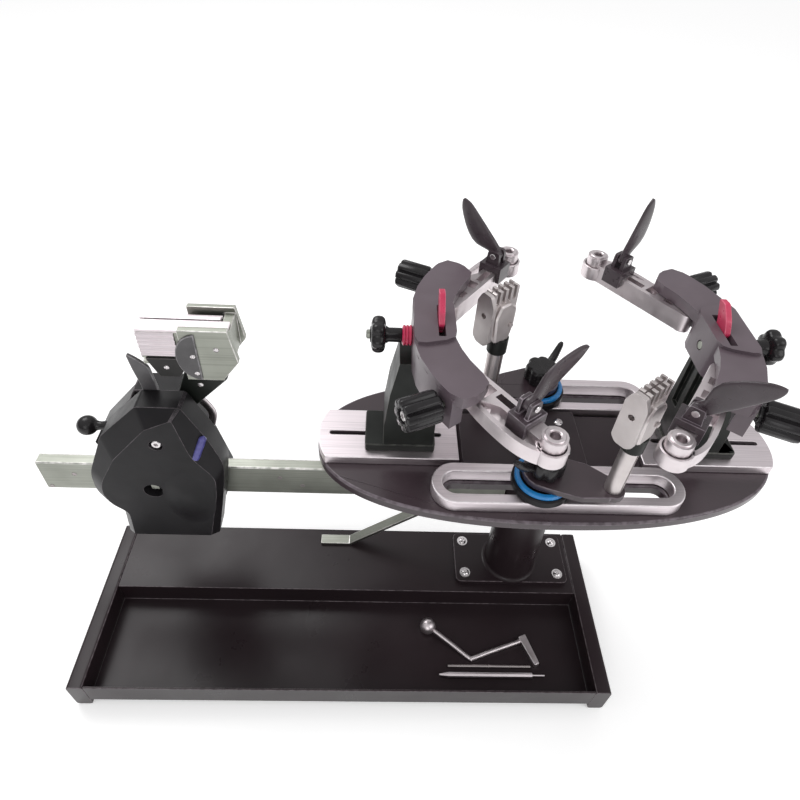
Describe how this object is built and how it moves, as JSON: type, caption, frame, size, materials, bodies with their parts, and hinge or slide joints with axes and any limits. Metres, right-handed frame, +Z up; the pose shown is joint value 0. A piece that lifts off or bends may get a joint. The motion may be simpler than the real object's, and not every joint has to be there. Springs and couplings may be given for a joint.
{
  "type": "racket stringing machine",
  "caption": "Table-top machine that strings rackets: crank tension head on a rail, turntable with two towers and two string clamps.",
  "frame": {"origin": "centre of the machine's outer box, on the surface that it stands on", "axes": "+X to the right along the tension rail, from the tension head towards the turntable; +Y to the back; +Z up"},
  "size_m": [0.7156, 0.278, 0.4673],
  "materials": {
    "painted_steel": "satin powder coat",
    "plum_black_cast": "satin paint on cast metal",
    "plum_grey_cast": "satin paint on cast metal",
    "dark_cast": "painted",
    "bare_steel": "brushed",
    "dark_tool_steel": "blackened",
    "dark_lever": "satin",
    "black_plate": "satin",
    "bearing_bronze": "machined",
    "satin_aluminium": "satin",
    "bead_blasted_aluminium": "cast and blasted",
    "black_plastic": "moulded",
    "red_plastic": "moulded"
  },
  "bodies": {
    "base": {"base_chassis": "painted_steel", "side_rail_left": "painted_steel", "side_rail_right": "painted_steel", "column": "painted_steel", "column_bearing": "bearing_bronze", "tension_rail": "bare_steel", "rail_brace": "bare_steel", "crank_handle": "satin_aluminium", "hex_key": "dark_tool_steel", "awl": "satin_aluminium"},
    "turntable": {"turntable_spindle": "bare_steel", "turntable_plate": "plum_black_cast", "centre_cover": "black_plastic", "slide_band_left": "satin_aluminium", "slide_band_right": "satin_aluminium", "glide_bar_front": "satin_aluminium", "glide_bar_back": "satin_aluminium"},
    "head": {"head_carriage": "dark_cast", "head_front_cover": "black_plastic", "head_rear_cover": "black_plastic"},
    "crank_shaft": {"crank_shaft": "bare_steel"},
    "brake_lever": {"brake_lever": "dark_lever"},
    "tension_knob": {"tension_knob": "black_plastic"},
    "gripper": {"gripper_arm": "black_plate", "gripper_block": "bare_steel"},
    "gripper_jaw": {"gripper_jaw": "satin_aluminium"},
    "tower_right": {"tower_right": "plum_black_cast", "yoke_right": "plum_grey_cast"},
    "support_screw_right": {"support_screw_right": "black_plastic"},
    "lock_fin_right": {"lock_fin_right": "red_plastic"},
    "arm_knob_back_right": {"arm_knob_back_right": "black_plastic"},
    "side_arm_back_right": {"side_arm_back_right": "satin_aluminium"},
    "claw_shoe_back_right": {"claw_shoe_back_right": "plum_black_cast"},
    "claw_finger_back_right": {"claw_finger_back_right": "plum_black_cast"},
    "arm_knob_front_right": {"arm_knob_front_right": "black_plastic"},
    "side_arm_front_right": {"side_arm_front_right": "satin_aluminium"},
    "claw_shoe_front_right": {"claw_shoe_front_right": "plum_black_cast"},
    "claw_finger_front_right": {"claw_finger_front_right": "plum_black_cast"},
    "tower_left": {"tower_left": "plum_black_cast", "yoke_left": "plum_grey_cast"},
    "support_screw_left": {"support_screw_left": "black_plastic"},
    "lock_fin_left": {"lock_fin_left": "red_plastic"},
    "arm_knob_front_left": {"arm_knob_front_left": "black_plastic"},
    "side_arm_front_left": {"side_arm_front_left": "satin_aluminium"},
    "claw_shoe_front_left": {"claw_shoe_front_left": "plum_black_cast"},
    "claw_finger_front_left": {"claw_finger_front_left": "plum_black_cast"},
    "arm_knob_back_left": {"arm_knob_back_left": "black_plastic"},
    "side_arm_back_left": {"side_arm_back_left": "satin_aluminium"},
    "claw_shoe_back_left": {"claw_shoe_back_left": "plum_black_cast"},
    "claw_finger_back_left": {"claw_finger_back_left": "plum_black_cast"},
    "clamp_base_front": {"clamp_base_front": "black_plastic"},
    "lock_lever_front": {"lock_lever_front": "black_plastic"},
    "swivel_arm_front": {"swivel_arm_front": "plum_black_cast"},
    "clamp_body_front": {"clamp_body_front": "bead_blasted_aluminium"},
    "clamp_jaw_front": {"clamp_jaw_front": "bead_blasted_aluminium"},
    "clamp_base_back": {"clamp_base_back": "black_plastic"},
    "lock_lever_back": {"lock_lever_back": "black_plastic"},
    "swivel_arm_back": {"swivel_arm_back": "plum_black_cast"},
    "clamp_body_back": {"clamp_body_back": "bead_blasted_aluminium"},
    "clamp_jaw_back": {"clamp_jaw_back": "bead_blasted_aluminium"}
  },
  "joints": [
    {"name": "turntable_spin", "type": "hinge", "parent": "base", "child": "turntable", "pos_m": [0.1382, 0.01297, 0.268], "axis": [0, 0, 1], "continuous": true},
    {"name": "head_slide", "type": "slide", "parent": "base", "child": "head", "axis": [1, 0, 0], "range_m": [-0.08, 0.045]},
    {"name": "crank_turn", "type": "hinge", "parent": "head", "child": "crank_shaft", "pos_m": [-0.2318, 0.00897, 0.2296], "axis": [0, 1, 0], "continuous": true},
    {"name": "brake_press", "type": "hinge", "parent": "head", "child": "brake_lever", "pos_m": [-0.21979, -0.00103, 0.3036], "axis": [0, -1, 0], "range_deg": [0, 18], "stiffness_Nm_per_rad": 0.3},
    {"name": "tension_knob_turn", "type": "hinge", "parent": "head", "child": "tension_knob", "pos_m": [-0.2718, 0.01097, 0.2706], "axis": [1, 0, 0], "continuous": true},
    {"name": "gripper_tilt", "type": "hinge", "parent": "head", "child": "gripper", "pos_m": [-0.2018, 0.00797, 0.2476], "axis": [0, 1, 0], "range_deg": [0, 10], "stiffness_Nm_per_rad": 60},
    {"name": "gripper_close", "type": "slide", "parent": "gripper", "child": "gripper_jaw", "axis": [0, 1, 0], "range_m": [-0.0009, 0.0035]},
    {"name": "tower_right_slide", "type": "slide", "parent": "turntable", "child": "tower_right", "axis": [1, 0, 0], "range_m": [-0.006, 0.036]},
    {"name": "support_screw_right_turn", "type": "hinge", "parent": "tower_right", "child": "support_screw_right", "pos_m": [0.2792, 0.01297, 0.39], "axis": [1, 0, 0], "continuous": true},
    {"name": "lock_fin_right_tilt", "type": "hinge", "parent": "tower_right", "child": "lock_fin_right", "pos_m": [0.25371, 0.01097, 0.401], "axis": [1, 0, 0], "range_deg": [-20, 18]},
    {"name": "arm_knob_back_right_turn", "type": "hinge", "parent": "tower_right", "child": "arm_knob_back_right", "pos_m": [0.25645, 0.09123, 0.39], "axis": [0.9063, 0.4226, 0], "continuous": true},
    {"name": "side_arm_back_right_swing", "type": "hinge", "parent": "tower_right", "child": "side_arm_back_right", "pos_m": [0.24221, 0.04997, 0.388], "axis": [0, 0, 1], "range_deg": [-5, 5]},
    {"name": "claw_shoe_back_right_slide", "type": "slide", "parent": "side_arm_back_right", "child": "claw_shoe_back_right", "axis": [-0.6046, 0.7965, 0], "range_m": [-0.009, 0.007]},
    {"name": "claw_finger_back_right_fold", "type": "hinge", "parent": "claw_shoe_back_right", "child": "claw_finger_back_right", "pos_m": [0.19746, 0.10891, 0.4113], "axis": [-0.6046, 0.7965, 0], "range_deg": [-77, 68]},
    {"name": "arm_knob_front_right_turn", "type": "hinge", "parent": "tower_right", "child": "arm_knob_front_right", "pos_m": [0.25645, -0.0653, 0.39], "axis": [0.9063, -0.4226, 0], "continuous": true},
    {"name": "side_arm_front_right_swing", "type": "hinge", "parent": "tower_right", "child": "side_arm_front_right", "pos_m": [0.24221, -0.02403, 0.388], "axis": [0, 0, -1], "range_deg": [-5, 5]},
    {"name": "claw_shoe_front_right_slide", "type": "slide", "parent": "side_arm_front_right", "child": "claw_shoe_front_right", "axis": [-0.6046, -0.7965, 0], "range_m": [-0.009, 0.007]},
    {"name": "claw_finger_front_right_fold", "type": "hinge", "parent": "claw_shoe_front_right", "child": "claw_finger_front_right", "pos_m": [0.19746, -0.08298, 0.4113], "axis": [0.6046, 0.7965, 0], "range_deg": [-80, 12]},
    {"name": "tower_left_slide", "type": "slide", "parent": "turntable", "child": "tower_left", "axis": [-1, 0, 0], "range_m": [-0.006, 0.036]},
    {"name": "support_screw_left_turn", "type": "hinge", "parent": "tower_left", "child": "support_screw_left", "pos_m": [-0.0028, 0.01297, 0.39], "axis": [-1, 0, 0], "continuous": true},
    {"name": "lock_fin_left_tilt", "type": "hinge", "parent": "tower_left", "child": "lock_fin_left", "pos_m": [0.0227, 0.01097, 0.401], "axis": [1, 0, 0], "range_deg": [-20, 18]},
    {"name": "arm_knob_front_left_turn", "type": "hinge", "parent": "tower_left", "child": "arm_knob_front_left", "pos_m": [0.01996, -0.0653, 0.39], "axis": [-0.9063, -0.4226, 0], "continuous": true},
    {"name": "side_arm_front_left_swing", "type": "hinge", "parent": "tower_left", "child": "side_arm_front_left", "pos_m": [0.0342, -0.02403, 0.388], "axis": [0, 0, 1], "range_deg": [-5, 5]},
    {"name": "claw_shoe_front_left_slide", "type": "slide", "parent": "side_arm_front_left", "child": "claw_shoe_front_left", "axis": [0.6046, -0.7965, 0], "range_m": [-0.009, 0.007]},
    {"name": "claw_finger_front_left_fold", "type": "hinge", "parent": "claw_shoe_front_left", "child": "claw_finger_front_left", "pos_m": [0.07895, -0.08298, 0.4113], "axis": [0.6046, -0.7965, 0], "range_deg": [-10, 120]},
    {"name": "arm_knob_back_left_turn", "type": "hinge", "parent": "tower_left", "child": "arm_knob_back_left", "pos_m": [0.01996, 0.09123, 0.39], "axis": [-0.9063, 0.4226, 0], "continuous": true},
    {"name": "side_arm_back_left_swing", "type": "hinge", "parent": "tower_left", "child": "side_arm_back_left", "pos_m": [0.0342, 0.04997, 0.388], "axis": [0, 0, -1], "range_deg": [-5, 5]},
    {"name": "claw_shoe_back_left_slide", "type": "slide", "parent": "side_arm_back_left", "child": "claw_shoe_back_left", "axis": [0.6046, 0.7965, 0], "range_m": [-0.009, 0.007]},
    {"name": "claw_finger_back_left_fold", "type": "hinge", "parent": "claw_shoe_back_left", "child": "claw_finger_back_left", "pos_m": [0.07895, 0.10891, 0.4113], "axis": [-0.6046, -0.7965, 0], "range_deg": [-100, 40]},
    {"name": "clamp_base_front_slide", "type": "slide", "parent": "turntable", "child": "clamp_base_front", "axis": [1, 0, 0], "range_m": [-0.045, 0.003]},
    {"name": "lock_lever_front_turn", "type": "hinge", "parent": "clamp_base_front", "child": "lock_lever_front", "pos_m": [0.1212, -0.04503, 0.298], "axis": [0, 0, 1], "range_deg": [-100, 100]},
    {"name": "swivel_arm_front_swing", "type": "hinge", "parent": "clamp_base_front", "child": "swivel_arm_front", "pos_m": [0.1212, -0.04503, 0.288], "axis": [0, 0, 1], "range_deg": [-10, 10]},
    {"name": "clamp_body_front_turn", "type": "hinge", "parent": "swivel_arm_front", "child": "clamp_body_front", "pos_m": [0.17633, -0.06305, 0.328], "axis": [0, 0, 1], "range_deg": [-30, 30]},
    {"name": "clamp_jaw_front_open", "type": "slide", "parent": "clamp_body_front", "child": "clamp_jaw_front", "axis": [0.6018, -0.7986, 0], "range_m": [-0.0009, 0.003]},
    {"name": "clamp_base_back_slide", "type": "slide", "parent": "turntable", "child": "clamp_base_back", "axis": [1, 0, 0], "range_m": [-0.003, 0.05]},
    {"name": "lock_lever_back_turn", "type": "hinge", "parent": "clamp_base_back", "child": "lock_lever_back", "pos_m": [0.1362, 0.07097, 0.298], "axis": [0, 0, 1], "range_deg": [-100, 100]},
    {"name": "swivel_arm_back_swing", "type": "hinge", "parent": "clamp_base_back", "child": "swivel_arm_back", "pos_m": [0.1362, 0.07097, 0.288], "axis": [0, 0, 1], "range_deg": [-5, 12]},
    {"name": "clamp_body_back_turn", "type": "hinge", "parent": "swivel_arm_back", "child": "clamp_body_back", "pos_m": [0.08177, 0.05094, 0.328], "axis": [0, 0, 1], "range_deg": [-3, 30]},
    {"name": "clamp_jaw_back_open", "type": "slide", "parent": "clamp_body_back", "child": "clamp_jaw_back", "axis": [0.6018, -0.7986, 0], "range_m": [-0.0009, 0.003]}
  ],
  "couplings": [
    {"joint": "crank_turn", "follows": "head_slide", "rad_per_m": 158.73}
  ]
}
